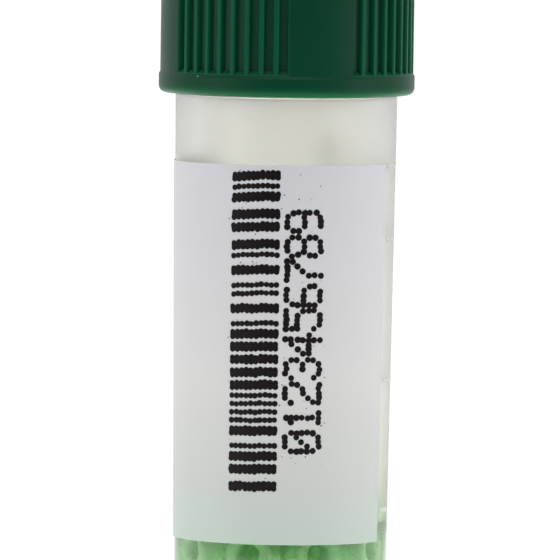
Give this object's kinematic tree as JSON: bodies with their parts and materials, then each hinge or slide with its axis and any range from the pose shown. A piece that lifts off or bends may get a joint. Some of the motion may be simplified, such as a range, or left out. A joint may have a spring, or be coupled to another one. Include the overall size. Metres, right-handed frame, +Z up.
{
  "type": "cryovial",
  "caption": "Screw-capped cryogenic storage vial with a translucent self-standing tube, ribbed cap, seal washer, white writing panel and ring-shaped storage beads.",
  "frame": {"origin": "centre of the foot ring's standing face, on the vial's axis", "axes": "+Z up along the vial's axis towards the cap; -Y is the front, where the code on the writing panel faces"},
  "size_m": [0.0144, 0.0144, 0.0485],
  "materials": {
    "tube_plastic": "satin",
    "cap_plastic": "gloss",
    "seal_silicone": "matt",
    "panel_ink": "matt",
    "bead_ceramic": "matt"
  },
  "bodies": {
    "vial": {"tube": "tube_plastic", "writing_panel": "panel_ink", "bead_01": "bead_ceramic", "bead_02": "bead_ceramic", "bead_03": "bead_ceramic", "bead_04": "bead_ceramic", "bead_05": "bead_ceramic", "bead_06": "bead_ceramic", "bead_07": "bead_ceramic", "bead_08": "bead_ceramic", "bead_09": "bead_ceramic", "bead_10": "bead_ceramic", "bead_11": "bead_ceramic", "bead_12": "bead_ceramic", "bead_13": "bead_ceramic", "bead_14": "bead_ceramic", "bead_15": "bead_ceramic", "bead_16": "bead_ceramic", "bead_17": "bead_ceramic", "bead_18": "bead_ceramic", "bead_19": "bead_ceramic", "bead_20": "bead_ceramic", "bead_21": "bead_ceramic", "bead_22": "bead_ceramic", "bead_23": "bead_ceramic", "bead_24": "bead_ceramic", "bead_25": "bead_ceramic"},
    "seal": {"seal_washer": "seal_silicone"},
    "screw_cap": {"cap": "cap_plastic"}
  },
  "joints": [
    {"name": "seal_lift", "type": "slide", "parent": "vial", "child": "seal", "axis": [0, 0, 1], "range_m": [0, 0.012]},
    {"name": "cap_turn", "type": "hinge", "parent": "seal", "child": "screw_cap", "pos_m": [0, 0, 0.0464], "axis": [0, 0, 1], "range_deg": [0, 1441]}
  ],
  "couplings": [
    {"joint": "cap_turn", "follows": "seal_lift", "rad_per_m": 2094.4}
  ]
}
